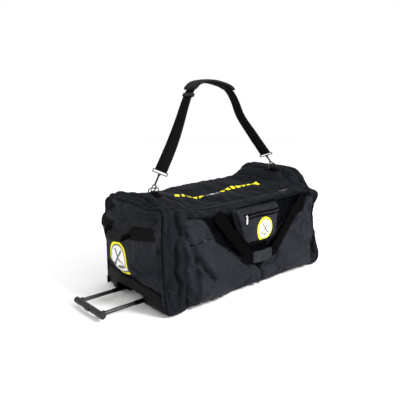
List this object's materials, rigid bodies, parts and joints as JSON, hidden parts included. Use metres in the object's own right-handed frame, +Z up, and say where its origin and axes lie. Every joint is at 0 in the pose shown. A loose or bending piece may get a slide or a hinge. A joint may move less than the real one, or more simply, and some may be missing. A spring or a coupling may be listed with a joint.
{
  "type": "hockey equipment bag",
  "caption": "Long soft wheeled duffel on a moulded base, with zipped lid, swelling end pockets, front pockets, webbing handles, shoulder strap and pull-out handle.",
  "frame": {"origin": "on the floor under the middle of the moulded base", "axes": "+Z up, +X along the bag towards the wheels, -Y towards the front with the accessory pocket"},
  "size_m": [1.2054, 0.4933, 0.8525],
  "materials": {
    "base_plastic": "moulded, fine grain",
    "hub_plastic": "moulded",
    "tyre_rubber": "matt",
    "steel": "zinc plated",
    "black_tube": "black anodised",
    "grey_tube": "dark grey anodised",
    "grip_plastic": "moulded, soft touch",
    "button_plastic": "moulded",
    "board": "plain sheet",
    "nylon": "woven nylon, slight sheen",
    "nickel": "nickel plated",
    "webbing": "flat woven webbing",
    "wrap": "padded wrap",
    "pad": "padded, woven cover",
    "adjuster_plastic": "moulded"
  },
  "bodies": {
    "bag": {"base_tray": "base_plastic", "end_band": "base_plastic", "skid_rails": "base_plastic", "tube_clamps": "base_plastic", "wheel_housing_front": "base_plastic", "wheel_housing_back": "base_plastic", "axles": "steel", "guide_tubes": "black_tube", "bottom_board": "board", "front_wall": "nylon", "back_wall": "nylon", "left_wall": "nylon", "right_wall": "nylon", "top_deck": "nylon", "end_pocket_left": "nylon", "end_pocket_right": "nylon", "front_pocket_left": "nylon", "front_pocket_right": "nylon", "accessory_pocket": "nylon", "d_ring_left": "nickel", "d_ring_right": "nickel", "d_ring_tabs": "webbing"},
    "wheel_front_body": {"wheel_front": "hub_plastic", "tyre_front": "tyre_rubber", "bearings_front": "steel"},
    "wheel_back_body": {"wheel_back": "hub_plastic", "tyre_back": "tyre_rubber", "bearings_back": "steel"},
    "trolley_lower": {"mid_tube_front": "black_tube", "mid_tube_back": "black_tube"},
    "trolley_upper": {"inner_tube_front": "grey_tube", "inner_tube_back": "grey_tube", "trolley_grip": "grip_plastic", "button_spring": "steel"},
    "release": {"release_button": "button_plastic"},
    "lid_flap": {"lid": "nylon"},
    "lid_slider_left_body": {"lid_slider_left": "nickel"},
    "lid_slider_right_body": {"lid_slider_right": "nickel"},
    "lid_pull_left_body": {"lid_pull_left": "nickel"},
    "lid_pull_right_body": {"lid_pull_right": "nickel"},
    "front_slider_left_body": {"front_slider_left": "nickel"},
    "front_slider_right_body": {"front_slider_right": "nickel"},
    "front_pull_left_body": {"front_pull_left": "nickel"},
    "front_pull_right_body": {"front_pull_right": "nickel"},
    "accessory_slider_body": {"accessory_slider": "nickel"},
    "accessory_pull_body": {"accessory_pull": "nickel"},
    "carry_front": {"carry_handle_front": "webbing", "carry_wrap": "wrap"},
    "carry_back": {"carry_handle_back": "webbing"},
    "grab_left": {"grab_handle_left": "webbing"},
    "grab_right": {"grab_handle_right": "webbing"},
    "strap": {"strap_webbing": "webbing", "shoulder_pad": "pad", "strap_adjuster": "adjuster_plastic", "strap_ring_left": "nickel", "strap_ring_right": "nickel"},
    "hook_left": {"snap_hook_left": "nickel"},
    "hook_right": {"snap_hook_right": "nickel"},
    "gate_left": {"hook_gate_left": "nickel"},
    "gate_right": {"hook_gate_right": "nickel"}
  },
  "joints": [
    {"name": "wheel_front_spin", "type": "hinge", "parent": "bag", "child": "wheel_front_body", "pos_m": [0.428, -0.178, 0.038], "axis": [0, 1, 0], "continuous": true},
    {"name": "wheel_back_spin", "type": "hinge", "parent": "bag", "child": "wheel_back_body", "pos_m": [0.428, 0.178, 0.038], "axis": [0, 1, 0], "continuous": true},
    {"name": "trolley_lower_slide", "type": "slide", "parent": "bag", "child": "trolley_lower", "axis": [-1, 0, 0], "range_m": [-0.055, 0.135]},
    {"name": "trolley_upper_slide", "type": "slide", "parent": "trolley_lower", "child": "trolley_upper", "axis": [-1, 0, 0], "range_m": [-0.128, 0.06]},
    {"name": "release_press", "type": "slide", "parent": "trolley_upper", "child": "release", "axis": [1, 0, 0], "range_m": [0, 0.004], "stiffness_N_per_m": 400, "springref_m": -0.003},
    {"name": "lid_hinge", "type": "hinge", "parent": "bag", "child": "lid_flap", "pos_m": [0, 0.196, 0.37], "axis": [-1, 0, 0], "range_deg": [0, 100], "deforming": ["strap_webbing"]},
    {"name": "lid_slider_left_run", "type": "slide", "parent": "bag", "child": "lid_slider_left_body", "axis": [-1, 0, 0], "range_m": [0, 0.49]},
    {"name": "lid_slider_right_run", "type": "slide", "parent": "bag", "child": "lid_slider_right_body", "axis": [1, 0, 0], "range_m": [0, 0.005]},
    {"name": "lid_pull_left_flip", "type": "hinge", "parent": "lid_slider_left_body", "child": "lid_pull_left_body", "pos_m": [0.24, -0.16, 0.3724], "axis": [0, 1, 0], "range_deg": [0, 170]},
    {"name": "lid_pull_right_flip", "type": "hinge", "parent": "lid_slider_right_body", "child": "lid_pull_right_body", "pos_m": [0.256, -0.16, 0.3724], "axis": [0, -1, 0], "range_deg": [0, 170]},
    {"name": "front_slider_left_run", "type": "slide", "parent": "bag", "child": "front_slider_left_body", "axis": [-0.7848, 0, 0.6198], "range_m": [-0.03, 0.04]},
    {"name": "front_slider_right_run", "type": "slide", "parent": "bag", "child": "front_slider_right_body", "axis": [0.7953, 0, 0.6062], "range_m": [-0.09, 0.04]},
    {"name": "front_pull_left_flip", "type": "hinge", "parent": "front_slider_left_body", "child": "front_pull_left_body", "pos_m": [-0.19, -0.2124, 0.306], "axis": [-1, 0, 0], "range_deg": [0, 150]},
    {"name": "front_pull_right_flip", "type": "hinge", "parent": "front_slider_right_body", "child": "front_pull_right_body", "pos_m": [0.214, -0.2124, 0.28], "axis": [-1, 0, 0], "range_deg": [0, 150]},
    {"name": "accessory_slider_run", "type": "slide", "parent": "bag", "child": "accessory_slider_body", "axis": [1, 0, 0], "range_m": [0, 0.19]},
    {"name": "accessory_pull_flip", "type": "hinge", "parent": "accessory_slider_body", "child": "accessory_pull_body", "pos_m": [-0.098, -0.2624, 0.322], "axis": [-1, 0, 0], "range_deg": [0, 150]},
    {"name": "carry_front_swing", "type": "hinge", "parent": "bag", "child": "carry_front", "pos_m": [0.012, -0.248, 0.345], "axis": [-1, 0, 0], "range_deg": [0, 200]},
    {"name": "carry_back_swing", "type": "hinge", "parent": "bag", "child": "carry_back", "pos_m": [0.012, 0.2275, 0.345], "axis": [1, 0, 0], "range_deg": [0, 165]},
    {"name": "grab_left_swing", "type": "hinge", "parent": "bag", "child": "grab_left", "pos_m": [-0.504, -0.012, 0.318], "axis": [0, 1, 0], "range_deg": [-15, 75]},
    {"name": "grab_right_swing", "type": "hinge", "parent": "bag", "child": "grab_right", "pos_m": [0.486, -0.012, 0.318], "axis": [0, -1, 0], "range_deg": [-15, 75]},
    {"name": "strap_swing", "type": "hinge", "parent": "bag", "child": "strap", "pos_m": [-0.356, 0, 0.434], "axis": [0.999, 0, 0.0449], "range_deg": [-75, 75]},
    {"name": "hook_left_swivel", "type": "hinge", "parent": "strap", "child": "hook_left", "pos_m": [-0.356, 0, 0.434], "axis": [0.5, 0, 0.866], "range_deg": [-25, 25]},
    {"name": "hook_right_swivel", "type": "hinge", "parent": "strap", "child": "hook_right", "pos_m": [0.356, 0, 0.466], "axis": [-0.6947, 0, 0.7193], "range_deg": [-25, 25]},
    {"name": "gate_left_open", "type": "hinge", "parent": "hook_left", "child": "gate_left", "pos_m": [-0.3519, 0.0104, 0.4411], "axis": [-0.866, 0, 0.5], "range_deg": [0, 22], "stiffness_Nm_per_rad": 0.02, "springref_deg": -17.19},
    {"name": "gate_right_open", "type": "hinge", "parent": "hook_right", "child": "gate_right", "pos_m": [0.3503, 0.0104, 0.4719], "axis": [-0.7193, 0, -0.6947], "range_deg": [0, 22], "stiffness_Nm_per_rad": 0.02, "springref_deg": -17.19}
  ]
}
